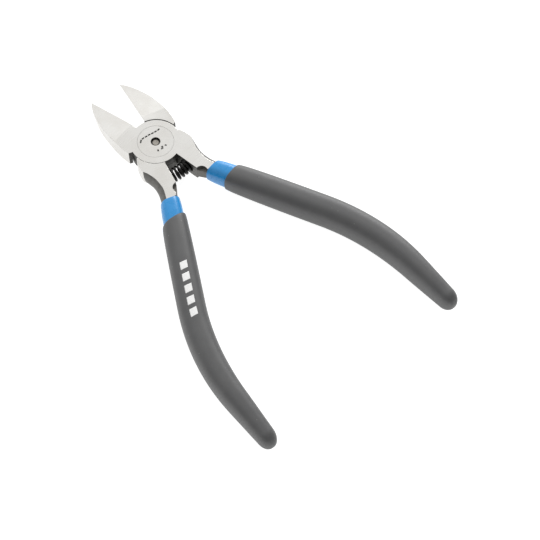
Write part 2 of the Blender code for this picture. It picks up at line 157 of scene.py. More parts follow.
# Handle centre line and sections: (distance along the handle, half width, half height), in millimetres
HANDLE_START = Vector((5.7 * MM, -23.3 * MM))
SPLAY = math.radians(16.1)
BOW_START = 46.5 * MM
BOW_END = 87.1 * MM
BOW_IN = math.radians(9.5)
TANG_SECTIONS = ((-5.0, 2.4, 3.5), (-1.0, 2.9, 3.6), (3.0, 2.9, 3.6), (70.0, 2.35, 3.6), (97.0, 1.3, 2.8))
SLEEVE_SECTIONS = ((0.0, 3.6, 4.6), (3.0, 3.95, 4.85), (8.4, 4.15, 5.05), (30.0, 4.1, 5.15),
                   (70.0, 3.85, 5.15), (87.0, 3.3, 4.95), (97.0, 2.75, 4.4), (102.0, 2.0, 3.4))
GRIP_SECTIONS = ((8.4, 4.7, 5.6), (12.0, 4.95, 5.9), (20.0, 5.15, 6.2), (35.0, 5.25, 6.4),
                 (60.0, 5.2, 6.4), (75.0, 4.95, 6.4), (87.0, 4.45, 6.25), (97.0, 3.85, 5.7),
                 (104.0, 3.45, 5.05))
TANG_END = 98.5 * MM
SLEEVE_END = 104.3 * MM
GRIP_END = 108.9 * MM
TANG_RINGS = 40
TANG_END_TURNS = (0.3, 0.6, 0.85)  # rings on the tang's rounded end, as shares of a quarter turn
SLEEVE_LIP = 0.3 * MM
GRIP_LIP = 0.5 * MM
LAYER_GAP = 0.02 * MM
SECTION_POWER = 2.7
RING_POINTS = 72
RING_SPACING = 1.6 * MM
LIP_STEPS = 4
DOME_STEPS = 12
DOME_POWER = 0.9
SLANT_FADE = 9 * MM

# Where each dipped layer starts down the handle, and how far its line slants
FRONT_DIPS = {"sleeve": (0.5 * MM, 0.35), "grip": (8.4 * MM, 0.28)}
REAR_DIPS = {"sleeve": (2.0 * MM, 0.2), "grip": (10.8 * MM, 0.44)}

# Printed bars on the left grip: a bar's length and the pitch run down the handle
PRINT_BARS = 5
PRINT_START = 30.6 * MM
PRINT_PITCH = 4.85 * MM
PRINT_LENGTH = 3.1 * MM
PRINT_HALF_WIDTH = 1.4 * MM
PRINT_SLANT = 0.3
INK_LIFT = 0.03 * MM
INK_THICKNESS = 0.05 * MM

# Stage: the studio is brightest towards BRIGHT_SIDE; each light is (name, place, size, power)
FLOOR_HALF_SIZE = 3.0
FLOOR_GAP = 0.02 * MM
BRIGHT_SIDE = (0.25, 0.8, 0.55)
BRIGHT_FROM = (-0.3, 1.0)
BRIGHT_TO = (0.28, 1.07)
LIGHTS = (("back_panel", (0.36, 0.95, 0.72), 0.4, 0.1), ("side_panel", (1.02, 0.64, 0.56), 0.62, 9.5))
VIEW_TARGET = Vector((0, -69.3 * MM, HEAD_HALF_T))
VIEW_AZIMUTH = math.radians(39.34)
VIEW_ELEVATION = math.radians(62.70)
VIEW_DISTANCE = 554.6 * MM
VIEW_LENS = 100                 # with a 36 mm wide sensor


# --- Materials ---------------------------------------------------------------------------------------------

class Nodes:
    """A material's node tree, with short calls to add to it."""

    def __init__(self, name):
        self.material = bpy.data.materials.new(name)
        self.material.use_nodes = True
        self.tree = self.material.node_tree
        self.shader = self.tree.nodes["Principled BSDF"]
        self.place = self.add("ShaderNodeTexCoord").outputs["Object"]

    def add(self, kind, **settings):
        node = self.tree.nodes.new(kind)
        for name, value in settings.items():
            setattr(node, name, value)
        return node

    def link(self, source, target):
        self.tree.links.new(source, target)

    def stretched(self, scale):
        """Object coordinates stretched by (x, y, z)."""
        mapping = self.add("ShaderNodeMapping")
        mapping.inputs["Scale"].default_value = scale
        self.link(self.place, mapping.inputs["Vector"])
        return mapping.outputs["Vector"]

    def noise(self, per_metre, detail=3.0, stretch=(1, 1, 1)):
        node = self.add("ShaderNodeTexNoise")
        node.inputs["Scale"].default_value = per_metre
        node.inputs["Detail"].default_value = detail
        self.link(self.stretched(stretch), node.inputs["Vector"])
        return node.outputs["Fac"]

    def spread(self, value, low, high, from_low=0.35, from_high=0.65):
        """A pattern's middle range spread over low to high."""
        node = self.add("ShaderNodeMapRange")
        node.inputs["From Min"].default_value = from_low
        node.inputs["From Max"].default_value = from_high
        node.inputs["To Min"].default_value = low
        node.inputs["To Max"].default_value = high
        self.link(value, node.inputs["Value"])
        return node.outputs["Result"]

    def mix(self, factor, first, second):
        """A colour between two, by a pattern."""
        node = self.add("ShaderNodeMix", data_type="RGBA")
        self.link(factor, node.inputs["Factor"])
        for socket, colour in ((node.inputs[6], first), (node.inputs[7], second)):
            if isinstance(colour, tuple):
                socket.default_value = (*colour, 1.0)
            else:
                self.link(colour, socket)
        return node.outputs[2]

    def bump(self, height, depth, strength=1.0):
        node = self.add("ShaderNodeBump")
        node.inputs["Strength"].default_value = strength
        node.inputs["Distance"].default_value = depth
        self.link(height, node.inputs["Height"])
        self.link(node.outputs["Normal"], self.shader.inputs["Normal"])

    def set(self, **values):
        for name, value in values.items():
            self.shader.inputs[name.replace("_", " ")].default_value = value


def ground_steel():
    """Satin ground steel: fine straight grinding marks across the tool and a faint warm cloudiness."""
    nodes = Nodes("ground_steel")
    nodes.set(Metallic=1.0)
    marks = nodes.noise(900, 4.0, (0.25, 5.0, 1.0))
    cloud = nodes.noise(140, 2.0)
    nodes.link(nodes.mix(nodes.spread(cloud, 0, 1), (0.655, 0.64, 0.61), (0.695, 0.685, 0.66)),
               nodes.shader.inputs["Base Color"])
    nodes.link(nodes.spread(marks, 0.27, 0.31), nodes.shader.inputs["Roughness"])
    nodes.bump(marks, 0.0006 * MM, 0.06)
    return nodes.material


def forged_oxide_and_shade():
    """Dark oxide on forged walls, mottled, slightly rough and a little worn, with painted shade near the
    pivot.
    """
    nodes = Nodes("forged_oxide_and_shade")
    nodes.set(Metallic=0.85)
    mottle = nodes.noise(700, 5.0)
    scale = nodes.noise(2600, 3.0)
    base = nodes.mix(nodes.spread(mottle, 0, 1), (0.115, 0.11, 0.101), (0.185, 0.18, 0.17))
    # Painted shade: inside the first radius the oxide is mixed three quarters of the way to near black,
    # fading out by the second.
    reach = nodes.add("ShaderNodeVectorMath", operation="LENGTH")
    nodes.link(nodes.place, reach.inputs[0])
    painted_shade = nodes.spread(reach.outputs["Value"], 0.75, 0.0, *PAINTED_SHADE_FADE)
    nodes.link(nodes.mix(painted_shade, base, (0.02, 0.019, 0.017)), nodes.shader.inputs["Base Color"])
    nodes.link(nodes.spread(mottle, 0.38, 0.55), nodes.shader.inputs["Roughness"])
    nodes.bump(scale, 0.03 * MM, 0.5)
    return nodes.material


def bore_shadow_steel():
    """Near-black steel inside the bores and pockets: painted shade."""
    nodes = Nodes("painted_bore_shade")
    nodes.set(Metallic=0.8)
    film = nodes.noise(1500, 3.0)
    # Painted shade: a near-black base colour for the bore walls.
    nodes.link(nodes.mix(nodes.spread(film, 0, 1), (0.03, 0.028, 0.025), (0.06, 0.056, 0.05)),
               nodes.shader.inputs["Base Color"])
    nodes.link(nodes.spread(film, 0.3, 0.5), nodes.shader.inputs["Roughness"])
    return nodes.material


def black_spring():
    """Black oxide spring wire with faint drawing marks."""
    nodes = Nodes("black_spring_wire")
    nodes.set(Metallic=0.7)
    marks = nodes.noise(2200, 3.0)
    nodes.link(nodes.mix(nodes.spread(marks, 0, 1), (0.012, 0.011, 0.011), (0.03, 0.028, 0.027)),
               nodes.shader.inputs["Base Color"])
    nodes.link(nodes.spread(marks, 0.28, 0.42), nodes.shader.inputs["Roughness"])
    nodes.bump(marks, 0.006 * MM, 0.3)
    return nodes.material


def pin_steel():
    """The pin's turned end: darker and rougher than the ground faces."""
    nodes = Nodes("pin_steel")
    nodes.set(Metallic=1.0)
    grain = nodes.noise(3000, 3.0)
    nodes.link(nodes.mix(nodes.spread(grain, 0, 1), (0.27, 0.25, 0.22), (0.4, 0.38, 0.345)),
               nodes.shader.inputs["Base Color"])
    nodes.link(nodes.spread(grain, 0.35, 0.5), nodes.shader.inputs["Roughness"])
    nodes.bump(grain, 0.01 * MM, 0.4)
    return nodes.material


def blue_vinyl():
    """Glossy dipped vinyl with slow ripples from the dip."""
    nodes = Nodes("blue_vinyl")
    nodes.set(Specular_IOR_Level=0.55)
    ripple = nodes.noise(160, 1.0, (1, 0.4, 1))
    cloud = nodes.noise(420, 3.0)
    nodes.link(nodes.mix(nodes.spread(cloud, 0, 1), (0.021, 0.288, 0.672), (0.025, 0.302, 0.702)),
               nodes.shader.inputs["Base Color"])
    nodes.link(nodes.spread(cloud, 0.24, 0.34), nodes.shader.inputs["Roughness"])
    nodes.bump(ripple, 0.12 * MM, 0.35)
    return nodes.material


def grey_vinyl():
    """Dark satin dipped vinyl: a fine skin, slow ripples and a few pale specks."""
    nodes = Nodes("grey_vinyl")
    nodes.set(Specular_IOR_Level=0.8)
    cloud = nodes.noise(220, 4.0)
    skin = nodes.noise(2400, 3.0)
    specks = nodes.add("ShaderNodeTexVoronoi")
    specks.inputs["Scale"].default_value = 330
    specks.inputs["Randomness"].default_value = 1.0
    nodes.link(nodes.stretched((1, 1, 1)), specks.inputs["Vector"])
    dots = nodes.spread(specks.outputs["Distance"], 1.0, 0.0, 0.035, 0.07)
    base = nodes.mix(nodes.spread(cloud, 0, 1), (0.076, 0.0765, 0.0775), (0.086, 0.0865, 0.087))
    nodes.link(nodes.mix(dots, base, (0.2, 0.2, 0.19)), nodes.shader.inputs["Base Color"])
    nodes.link(nodes.spread(skin, 0.5, 0.58), nodes.shader.inputs["Roughness"])
    nodes.bump(skin, 0.02 * MM, 0.3)
    return nodes.material


def white_print():
    """Pad-printed white ink, slightly uneven."""
    nodes = Nodes("white_print")
    uneven = nodes.noise(1800, 3.0)
    nodes.link(nodes.mix(nodes.spread(uneven, 0, 1), (0.93, 0.93, 0.92), (0.98, 0.98, 0.97)),
               nodes.shader.inputs["Base Color"])
    nodes.link(nodes.spread(uneven, 0.4, 0.55), nodes.shader.inputs["Roughness"])
    return nodes.material


def pale_floor():
    """A plain, nearly white floor."""
    nodes = Nodes("pale_floor")
    nodes.set(Base_Color=(0.4, 0.4, 0.4, 1.0), Roughness=0.8, Specular_IOR_Level=0.2, Emission_Strength=0.9)
    nodes.shader.inputs["Emission Color"].default_value = (1.0, 1.0, 1.0, 1.0)
    return nodes.material


# --- Mesh tools --------------------------------------------------------------------------------------------

def new_object(name, mesh):
    made = bpy.data.objects.new(name, mesh)
    bpy.context.scene.collection.objects.link(made)
    return made


def object_from(name, work):
    """An object from a bmesh, with its faces turned outwards."""
    bmesh.ops.recalc_face_normals(work, faces=work.faces)
    mesh = bpy.data.meshes.new(name)
    work.to_mesh(mesh)
    work.free()
    return new_object(name, mesh)


def smooth_through(points, steps=10):
    """Points on a Catmull-Rom curve through the given ones, of any dimension."""
    padded = [2 * points[0] - points[1], *points, 2 * points[-1] - points[-2]]
    curve = []
    for a, b, c, d in zip(padded, padded[1:], padded[2:], padded[3:]):
        for step in range(steps):
            t = step / steps
            curve.append(0.5 * (2 * b + (c - a) * t + (2 * a - 5 * b + 4 * c - d) * t ** 2
                                + (3 * b - a - 3 * c + d) * t ** 3))
    return [*curve, points[-1]]


def arc(radius, start, end, steps):
    angles = [start + (end - start) * step / steps for step in range(steps + 1)]
    return [Vector((radius * math.cos(angle), radius * math.sin(angle))) for angle in angles]


def angle_of(point):
    return math.atan2(point.y, point.x)


def stacked(name, rings):
    """A closed solid over rings with the same number of points."""
    work = bmesh.new()
    rows = [[work.verts.new(point) for point in ring] for ring in rings]
    count = len(rows[0])
    for row, following in zip(rows, rows[1:]):
        for index in range(count):
            after = (index + 1) % count
            work.faces.new((row[index], row[after], following[after], following[index]))
    work.faces.new(rows[0])
    work.faces.new(rows[-1])
    return object_from(name, work)


def turned(name, profile, steps=160, start=0.0, sweep=2 * math.pi):
    """A solid of revolution about Z from (radius, height) points down its outer side."""
    work = bmesh.new()
    full = sweep >= 2 * math.pi
    count = steps if full else steps + 1
    columns = []
    for index in range(count):
        angle = start + sweep * index / steps
        columns.append([work.verts.new((r * math.cos(angle), r * math.sin(angle), z)) for r, z in profile])
    for index in range(steps):
        column, following = columns[index], columns[(index + 1) % count]
        for low in range(len(profile)):
            high = (low + 1) % len(profile)
            if profile[low][0] == 0 and profile[high][0] == 0:
                continue
            work.faces.new((column[low], column[high], following[high], following[low]))
    if not full:
        work.faces.new(columns[0])
        work.faces.new(columns[-1])
    bmesh.ops.remove_doubles(work, verts=work.verts, dist=MERGE_DISTANCE)
    return object_from(name, work)


def prism(name, outline, low, high):
    """A plan outline between two heights."""
    return stacked(name, [[(p[0], p[1], z) for p in outline] for z in (low, high)])


def applied(item):
    """Replace an object's mesh by what its modifiers make of it."""
    evaluated = item.evaluated_get(bpy.context.evaluated_depsgraph_get())
    mesh = bpy.data.meshes.new_from_object(evaluated)
    item.modifiers.clear()
    item.data = mesh
    return item


def combine(item, tool, operation="DIFFERENCE"):
    """Apply an exact Boolean and remove its tool."""
    modifier = item.modifiers.new("Cut", "BOOLEAN")
    modifier.operation = operation
    modifier.solver = "EXACT"
    modifier.object = tool
    bpy.context.view_layer.update()
    applied(item)
    bpy.data.objects.remove(tool, do_unlink=True)
    return item


def soften(item, width, segments=2, angle=math.radians(32)):
    """Round the sharp edges and shade the rest smoothly."""
    work = bmesh.new()
    work.from_mesh(item.data)
    weight = work.edges.layers.float.new("bevel_weight_edge")
    for edge in work.edges:
        if len(edge.link_faces) == 2 and edge.calc_face_angle() > angle:
            middle = (edge.verts[0].co + edge.verts[1].co) / 2
            in_bore = math.hypot(middle.x, middle.y) < BORE_ZONE_R
            edge[weight] = 0.0 if in_bore else 1.0
            edge.smooth = not in_bore
    for face in work.faces:
        face.smooth = True
    work.to_mesh(item.data)
    work.free()
    bevel = item.modifiers.new("Edges", "BEVEL")
    bevel.width = width
    bevel.segments = segments
    bevel.limit_method = "WEIGHT"
    bevel.use_clamp_overlap = False
    bevel.harden_normals = True
    return item


# --- Handle geometry ---------------------------------------------------------------------------------------

def handle_frame(distance):
    """Centre and direction of the handle at a distance down its centre line."""
    radius = (BOW_END - BOW_START) / (SPLAY + BOW_IN)
    straight = min(distance, BOW_START)
    point = HANDLE_START + straight * Vector((math.sin(SPLAY), -math.cos(SPLAY)))
    bowed = min(max(distance - BOW_START, 0.0), BOW_END - BOW_START)
    heading = SPLAY - bowed / radius
    point += radius * Vector((math.cos(heading) - math.cos(SPLAY), math.sin(heading) - math.sin(SPLAY)))
    direction = Vector((math.sin(heading), -math.cos(heading)))
    point += max(distance - BOW_END, 0.0) * direction
    return point, direction


def section_at(sections, distance):
    """Half width and half height at a distance, on a smooth curve through the listed sections."""
    spot = distance / MM
    knots = [sections[0], *sections, sections[-1]]
    for p0, p1, p2, p3 in zip(knots, knots[1:], knots[2:], knots[3:]):
        if spot <= p2[0] or p3 is knots[-1] and p2 is knots[-2]:
            t = min(max((spot - p1[0]) / (p2[0] - p1[0]), 0.0), 1.0)
            sizes = []
            for axis in (1, 2):
                before = (p2[axis] - p0[axis]) / max(p2[0] - p0[0], 1e-9) * (p2[0] - p1[0])
                after = (p3[axis] - p1[axis]) / max(p3[0] - p1[0], 1e-9) * (p2[0] - p1[0])
                sizes.append(((2 * t ** 3 - 3 * t ** 2 + 1) * p1[axis] + (t ** 3 - 2 * t ** 2 + t) * before
                              + (3 * t ** 2 - 2 * t ** 3) * p2[axis] + (t ** 3 - t ** 2) * after) * MM)
            return sizes
    return None


def section_point(distance, half_width, half_height, angle, slant=0.0):
    """One point of a rounded section across the handle."""
    centre, along = handle_frame(distance)
    across = Vector((-along.y, along.x))
    cosine, sine = math.cos(angle), math.sin(angle)
    out = half_width * math.copysign(abs(cosine) ** (2 / SECTION_POWER), cosine)
    up = half_height * math.copysign(abs(sine) ** (2 / SECTION_POWER), sine)
    plan = centre + across * out + along * (slant * out)
    return Vector((plan.x, plan.y, up))


def handle_ring(distance, half_width, half_height, slant=0.0):
    angles = [2 * math.pi * (index + 0.5) / RING_POINTS for index in range(RING_POINTS)]
    return [section_point(distance, half_width, half_height, angle, slant) for angle in angles]


def faded(slant, start, distance):
    """A dip line's slant, dying out down the handle."""
    t = min(max((distance - start) / SLANT_FADE, 0.0), 1.0)
    return slant * (1 - t)


def grip_rings(sections, start, end, slant, lip):
    """Rings down a dipped layer: a rounded lip at the start and a dome at the end."""
    last = sections[-1][0] * MM
    rings = []
    for step in range(LIP_STEPS + 1):
        turn = math.pi / 2 * step / LIP_STEPS
        width, height = section_at(sections, start)
        inset = lip * (1 - math.sin(turn))
        distance = start + lip * (1 - math.cos(turn))
        rings.append(handle_ring(distance, width - inset, height - inset, slant))
    count = round((last - start - lip) / RING_SPACING)
    for index in range(1, count + 1):
        distance = start + lip + (last - start - lip) * index / count
        width, height = section_at(sections, distance)
        rings.append(handle_ring(distance, width, height, faded(slant, start, distance)))
    width, height = section_at(sections, last)
    for step in range(1, DOME_STEPS):
        turn = math.pi / 2 * step / DOME_STEPS
        squeeze = math.cos(turn) ** DOME_POWER
        distance = last + (end - last) * math.sin(turn)
        rings.append(handle_ring(distance, width * squeeze, height * squeeze))
    return rings


def cup(name, sections, start, end, slant, lip, inner_sections, inner_end, gap, side):
    """A dipped layer: its outer skin, its rounded lip and the cavity that holds what it covers."""
    outer = grip_rings(sections, start, end, slant, lip)
    inner = []
    last = inner_sections[-1][0] * MM
    count = round((last - start) / (2 * RING_SPACING))
    for index in range(count + 1):
        distance = start + (last - start) * index / count
        width, height = section_at(inner_sections, distance)
        inner.append(handle_ring(distance, width + gap, height + gap, faded(slant, start, distance)))
    width, height = section_at(inner_sections, last)
    for step in range(1, 5):
        turn = math.pi / 2 * step / 5
        squeeze = math.cos(turn)
        distance = last + (inner_end + gap - last) * math.sin(turn)
        inner.append(handle_ring(distance, (width + gap) * squeeze, (height + gap) * squeeze))
    item = stacked(name, [*reversed(outer), *inner])
    if side < 0:
        item.data.transform(Matrix.Rotation(math.pi, 4, "Y"))
    for polygon in item.data.polygons:
        polygon.use_smooth = True
    return item


# --- Levers ------------------------------------------------------------------------------------------------

def lever_outlines(sleeve_start):
    """The lever's plan at mid height and at its ground faces, point for point, handle on the right."""
    back = [Vector((-x * MM, y * MM)) for x, y in (HEEL[1], *JAW_BACK)]
    tip = Vector((-CUT_CLEARANCE, JAW_TIP_Y))
    jaw = list(reversed(smooth_through(back)))
    heel_foot = Vector((-HEEL[0][0] * MM, HEEL[0][1] * MM))
    inner_corner = Vector((INNER_FACE_X, -math.sqrt(LAP_R ** 2 - INNER_FACE_X ** 2)))
    lower = arc(LAP_R, angle_of(heel_foot), 2 * math.pi + angle_of(inner_corner), 110)
    centre, _ = handle_frame(sleeve_start)
    middle = centre - Vector((math.tan(SPLAY), -1)) * ROOT_TO_SLEEVE
    ends_flank = [middle + Vector((-ROOT_FLANK, 0)), middle + Vector((ROOT_FLANK, 0))]
    ends_face = [middle + Vector((-ROOT_FACE[0], 0)), middle + Vector((ROOT_FACE[1], 0))]
    before = [tip, *jaw, *lower]
    inner = [Vector((x * MM, y * MM)) for y, x in INNER_FOOT]
    flank = [Vector((x * MM, y * MM)) for y, x, _ in SHOULDER] + [ends_flank[1]]
    face = [Vector((x * MM, y * MM)) for y, _, x in SHOULDER] + [ends_face[1]]
    throat = Vector((-CUT_CLEARANCE, math.sqrt(LAP_R ** 2 - CUT_CLEARANCE ** 2)))
    foot = Vector((math.sqrt(LAP_R ** 2 - flank[0].y ** 2), flank[0].y))
    upper = arc(LAP_R, angle_of(foot), angle_of(throat), 80)
    mid_height, at_face = ([*before, *smooth_through([*inner, ends[0]], 6), *shoulder_curve(outer), *upper]
                           for ends, outer in ((ends_flank, flank), (ends_face, face)))
    return mid_height, at_face


def shoulder_curve(points):
    """The root's outer side, from the sleeve up to the lap disc, with a plain step where it starts."""
    curve = smooth_through(points, 8)
    return [*reversed(curve[4:]), curve[0]]


def forging(name, sleeve_start):
    """The lever's body: flat ground faces, and a root whose flanks bulge between them."""
    mid_height, at_face = lever_outlines(sleeve_start)
    rings = []
    for level in FLANK_LEVELS:
        share = abs(level) ** FLANK_POWER
        rings.append([(*(a + (b - a) * share), level * HEAD_HALF_T) for a, b in zip(mid_height, at_face)])
    return stacked(name, rings)


def tang():
    """The bar inside the grip."""
    first, last = TANG_SECTIONS[0][0] * MM, TANG_SECTIONS[-1][0] * MM
    rings = []
    for index in range(TANG_RINGS + 1):
        distance = first + (last - first) * index / TANG_RINGS
        rings.append(handle_ring(distance, *section_at(TANG_SECTIONS, distance)))
    width, height = section_at(TANG_SECTIONS, last)
    for turn in TANG_END_TURNS:
        shrink = math.cos(turn * math.pi / 2)
        distance = last + (TANG_END - last) * math.sin(turn * math.pi / 2)
        rings.append(handle_ring(distance, width * shrink, height * shrink))
    return stacked("tang", rings)


def slope_cutter():
    """What lies above the jaws' front face, which falls faster and faster to the tip."""
    run = JAW_TIP_Y - SLOPE_START_Y
    gain = (TIP_DROP - SLOPE_FIRST * run) / run ** 2
    reach = 1.15 * run  # a little past the tip
    profile = []
    for step in range(SLOPE_STEPS + 1):
        u = reach * step / SLOPE_STEPS
        profile.append((SLOPE_START_Y + u, HEAD_HALF_T - SLOPE_FIRST * u - gain * u ** 2))
    top = HEAD_HALF_T + OVERSHOOT
    profile += [(SLOPE_START_Y + reach, top), (SLOPE_START_Y - OVERSHOOT / SLOPE_FIRST, top)]
    return stacked("slope_cut", [[(x, y, z) for y, z in profile] for x in (-JAW_REACH, JAW_REACH)])


def bevel_cutter():
    """The wedge behind the cutting edge, towards the back face; the jaw is on the left."""
    spread = BEVEL_DEPTH * math.tan(EDGE_BEVEL)
    run = JAW_TIP_Y - SLOPE_START_Y
    lean = TIP_DROP / run
    rings = []
    for y in (JAW_CUT_R, JAW_TIP_Y + OVERSHOOT):
        top = HEAD_HALF_T - EDGE_LAND - lean * (y - SLOPE_START_Y)
        rings.append([(-CUT_CLEARANCE, y, top), (-CUT_CLEARANCE - spread, y, top - BEVEL_DEPTH),
                      (OVERSHOOT, y, top - BEVEL_DEPTH), (OVERSHOOT, y, top)])
    return stacked("bevel_cut", rings)


def lap_cutters(upper):
    """What the other lever's lap disc needs: a closer fit on the root's side than on the jaw's."""
    low, high = (-HEAD_HALF_T - OVERSHOOT, LAP_GAP) if upper else (-LAP_GAP, HEAD_HALF_T + OVERSHOOT)
    jaw = [(0, high), (JAW_CUT_R, high), (JAW_CUT_R, low), (0, low)]
    root = [(0, high), (ROOT_CUT_R, high), (ROOT_CUT_R, low), (0, low)]
    return [turned("lap_cut", root, 200), turned("jaw_cut", jaw, 100, 0.0, math.pi)]


def pocket_cutter():
    """The blind hole that an end of the return spring sits in."""
    profile = [(0, POCKET_DEPTH), (POCKET_R, POCKET_DEPTH), (POCKET_R, -OVERSHOOT), (0, -OVERSHOOT)]
    cutter = turned("pocket_cut", profile, 48)
    place = Matrix.Translation((INNER_FACE_X, SPRING_Y, 0))
    cutter.data.transform(place @ Matrix.Rotation(math.pi / 2, 4, "Y"))
    return cutter


def scallop_cutter(face):
    """A half round dip in a ground face beside the start of the grip."""
    low, high = sorted((face * (HEAD_HALF_T - SCALLOP_DEPTH), face * (HEAD_HALF_T + OVERSHOOT)))
    cutter = turned("scallop_cut", [(0, high), (SCALLOP_R, high), (SCALLOP_R, low), (0, low)], 64)
    cutter.data.transform(Matrix.Translation((INNER_FACE_X, SCALLOP_Y, 0)))
    return cutter


def bore_cutter(upper):
    """The journal's seat: stepped in the upper lever, flared at the back of the lower one."""
    shank = JOURNAL_R + SHANK_GAP
    top, back = HEAD_HALF_T + OVERSHOOT, -HEAD_HALF_T
    if upper:
        step = HEAD_UNDERSIDE_Z - SHANK_GAP
        head = HEAD_R + HEAD_GAP
        profile = [(0, top), (head, top), (head, step), (shank, step), (shank, -OVERSHOOT), (0, -OVERSHOOT)]
    else:
        start = back + FLARE_HEIGHT
        flare = FLARE_R + HEAD_GAP
        profile = [(0, OVERSHOOT), (shank, OVERSHOOT), (shank, start), (flare, back),
                   (flare, back - OVERSHOOT), (0, back - OVERSHOOT)]
    return turned("bore_cut", profile, 160)


def finish_of(centre, normal):
    """0 for ground steel, 1 for forged oxide, 2 for painted shade in a bore; the handle is on the right."""
    radius = math.hypot(centre.x, centre.y)
    if radius < BORE_ZONE_R and abs(centre.z) < HEAD_HALF_T - FACE_TOLERANCE:
        return 2
    flat = abs(normal.z) > FLAT_NORMAL
    if flat and (abs(centre.z) > HEAD_HALF_T - LEVEL_TOLERANCE or centre.y > JAW_CUT_R):
        return 0
    if centre.y > JAW_CUT_R or centre.y > HEEL[1][1] * MM and centre.x < -LAP_R:
        return 0
    above_ground_end = centre.y > GROUND_END_Y + GROUND_LEAN * centre.z
    if centre.x > GROUND_SIDE_X and above_ground_end and radius > LAP_R + LEVEL_TOLERANCE:
        return 0
    return 1


def split_shoulder(item):
    """Cut the outer wall along the slanted line where its ground part ends."""
    work = bmesh.new()
    work.from_mesh(item.data)
    wall = [face for face in work.faces
            if abs(face.normal.z) < WALL_NORMAL and face.calc_center_median().x > WALL_X]
    edges = (edge for face in wall for edge in face.edges)
    corners = (vertex for face in wall for vertex in face.verts)
    bmesh.ops.bisect_plane(work, geom=list({*wall, *edges, *corners}), plane_co=(0, GROUND_END_Y, 0),
                           plane_no=(0, 1, -GROUND_LEAN), dist=CUT_TOLERANCE)
    work.to_mesh(item.data)
    work.free()


def finish_lever(item, side, steels):
    """Give each face its finish, then soften the edges."""
    for steel in steels:
        item.data.materials.append(steel)
    for polygon in item.data.polygons:
        centre, normal = polygon.center, polygon.normal
        polygon.material_index = finish_of(Vector((side * centre.x, centre.y, centre.z)), normal)
    return soften(item, EDGE_ROUND)


def mirror(item):
    """Mirror a right-hand piece to the left."""
    work = bmesh.new()
    work.from_mesh(item.data)
    bmesh.ops.scale(work, vec=(-1, 1, 1), verts=work.verts)
    bmesh.ops.reverse_faces(work, faces=work.faces)
    work.to_mesh(item.data)
    work.free()


def make_levers(steels):
    """The front lever, and the rear one: its own plan and slope, with its lap disc below."""
    made = []
    for name, side, dips in (("front_lever_forging", 1, FRONT_DIPS), ("rear_lever_forging", -1, REAR_DIPS)):
        item = forging(name, dips["sleeve"][0])
        combine(item, tang(), "UNION")
        cutters = [*lap_cutters(side > 0), slope_cutter(), bevel_cutter(), pocket_cutter(),
                   scallop_cutter(1), scallop_cutter(-1), bore_cutter(side > 0)]
        for cutter in cutters:
            combine(item, cutter)
        split_shoulder(item)
        if side < 0:
            mirror(item)
        made.append(finish_lever(item, side, steels))
    return made


# --- Joint and spring --------------------------------------------------------------------------------------

def joint_disc(steel, oxide):
    """The journal, flush in front and upset at the back, with plain etched strokes."""
    back = -HEAD_HALF_T
    chamfer = HEAD_CHAMFER
    seat = RIVET_HEAD_R + HEAD_GAP
    hole = RIVET_R + HEAD_GAP
    ledge = back + RIVET_HEAD_T + HEAD_GAP
    mouth = HEAD_HALF_T - RIVET_HOLE_DEPTH
    profile = [(RIVET_HOLE_R + chamfer, HEAD_HALF_T), (HEAD_R - chamfer, HEAD_HALF_T),
               (HEAD_R, HEAD_HALF_T - chamfer), (HEAD_R, HEAD_UNDERSIDE_Z), (JOURNAL_R, HEAD_UNDERSIDE_Z),
               (JOURNAL_R, back + FLARE_HEIGHT), (FLARE_R, back + chamfer), (FLARE_R - chamfer, back),
               (seat + chamfer, back), (seat, back + chamfer), (seat, ledge), (hole, ledge), (hole, mouth),
               (RIVET_HOLE_R, mouth), (RIVET_HOLE_R, HEAD_HALF_T - chamfer)]
    disc = turned("journal_disc", profile, 160)
    for x, y, length, lean in ETCHED_STROKES:
        half, stroke = ETCH_WIDTH / 2, length * MM / 2
        turn = Matrix.Rotation(math.radians(lean), 2)
        outline = [turn @ Vector(corner) + Vector((x * MM, y * MM))
                   for corner in ((-stroke, -half), (stroke, -half), (stroke, half), (-stroke, half))]
        combine(disc, prism("stroke", outline, HEAD_HALF_T - ETCH_DEPTH, HEAD_HALF_T + ETCH_DEPTH))
    for look in (steel, oxide):
        disc.data.materials.append(look)
    for polygon in disc.data.polygons:
        radius = math.hypot(polygon.center.x, polygon.center.y)
        below = (HEAD_HALF_T - polygon.center.z) / ETCH_DEPTH
        etched = 0.5 < below < 1.5 and ETCH_ZONE[0] < radius < ETCH_ZONE[1]
        # The pin hole's wall takes the oxide, so it carries that material's painted shade; the strokes take
        # the oxide too.
        inside = radius < RIVET_HOLE_R * 1.02 and abs(polygon.normal.z) < 0.6
        polygon.material_index = 1 if etched or inside else 0
        polygon.use_smooth = True
    disc.data.set_sharp_from_angle(angle=math.radians(30))
    return disc


def centre_rivet(pin):
    """The recessed pin, chamfered in front and with a flush head behind."""
    top, back = HEAD_HALF_T - RIVET_RECESS, -HEAD_HALF_T
    chamfer = RIVET_CHAMFER
    profile = [(0, top), (RIVET_R - chamfer, top), (RIVET_R, top - chamfer), (RIVET_R, back + RIVET_HEAD_T),
               (RIVET_HEAD_R, back + RIVET_HEAD_T), (RIVET_HEAD_R, back + chamfer),
               (RIVET_HEAD_R - chamfer, back), (0, back)]
    rivet = turned("pin", profile, 96)
    rivet.data.materials.append(pin)
    for polygon in rivet.data.polygons:
        polygon.use_smooth = True
    rivet.data.set_sharp_from_angle(angle=math.radians(30))
    return rivet


def spring_axis(distance, mouth, bend_r):
    """Point and heading on the spring's axis: straight in each pocket, bent in the gap."""
    half_bend = bend_r * HALF_OPENING
    heading = min(max(distance, -half_bend), half_bend) / bend_r
    beyond = abs(distance) - half_bend
    centre_y = mouth.y + bend_r * math.cos(HALF_OPENING)
    point = Vector((bend_r * math.sin(heading), centre_y - bend_r * math.cos(heading)))
    if beyond > 0:
        point += math.copysign(beyond, distance) * Vector((math.cos(heading), math.sin(heading)))
    return point, heading


